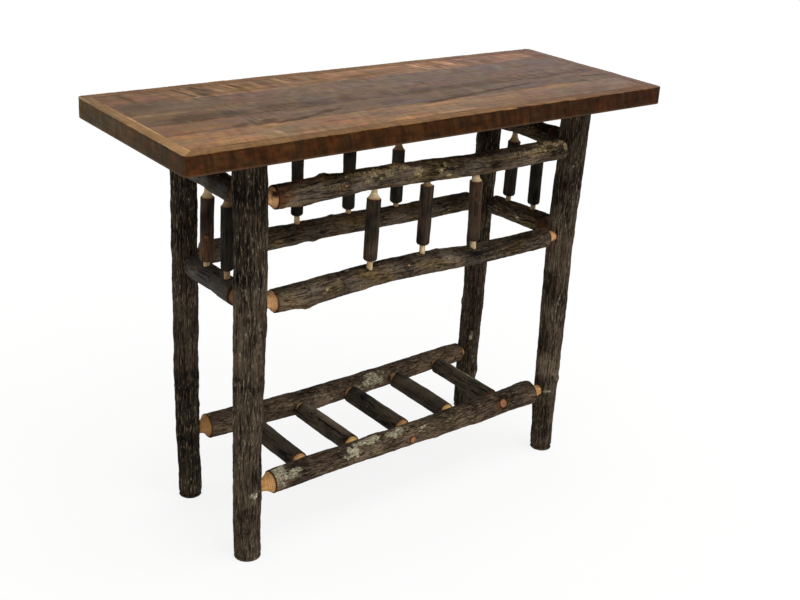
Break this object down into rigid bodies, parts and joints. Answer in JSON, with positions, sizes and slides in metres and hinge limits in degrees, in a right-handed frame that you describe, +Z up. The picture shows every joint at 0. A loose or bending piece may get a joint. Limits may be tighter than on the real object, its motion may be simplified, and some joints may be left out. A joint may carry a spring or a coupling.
{
  "type": "console table",
  "caption": "Tall narrow console table of bark-on hickory poles, with spindled aprons, a rung shelf and a mitred top of reclaimed boards.",
  "frame": {"origin": "on the floor, under the middle of the tabletop", "axes": "+X along the table's length to the right as seen from the front, +Y to the back, +Z up"},
  "size_m": [1.22, 0.458, 0.948],
  "materials": {
    "bark": "rough ridged hickory bark under a thin matt clear coat",
    "spindle_bark": "smooth thin sapling bark, satin",
    "shaved_wood": "shaved hickory end wood, satin clear coat",
    "top_boards": "rough-sawn reclaimed boards, satin clear coat",
    "top_edging": "rough-sawn reclaimed edging, satin clear coat",
    "underlay": "plain panel, unfinished"
  },
  "bodies": {
    "root": {"leg_front_left": "bark", "leg_front_right": "bark", "leg_back_left": "bark", "leg_back_right": "bark", "upper_rail_front": "bark", "upper_rail_back": "bark", "upper_rail_left": "bark", "upper_rail_right": "bark", "lower_rail_front": "bark", "lower_rail_back": "bark", "lower_rail_left": "bark", "lower_rail_right": "bark", "stretcher_front": "bark", "stretcher_back": "bark", "spindle_front_1": "spindle_bark", "spindle_front_2": "spindle_bark", "spindle_front_3": "spindle_bark", "spindle_back_1": "spindle_bark", "spindle_back_2": "spindle_bark", "spindle_back_3": "spindle_bark", "spindle_left_1": "spindle_bark", "spindle_left_2": "spindle_bark", "spindle_right_1": "spindle_bark", "spindle_right_2": "spindle_bark", "shelf_rung_1": "bark", "shelf_rung_2": "bark", "shelf_rung_3": "bark", "shelf_rung_4": "bark", "shelf_rung_5": "bark", "edging_front": "top_edging", "edging_back": "top_edging", "edging_left": "top_edging", "edging_right": "top_edging", "top_board_1": "top_boards", "top_board_2": "top_boards", "top_board_3": "top_boards", "top_board_4": "top_boards", "top_board_5": "top_boards", "underlay_panel": "underlay", "top_dowels": "shaved_wood"}
  },
  "joints": []
}
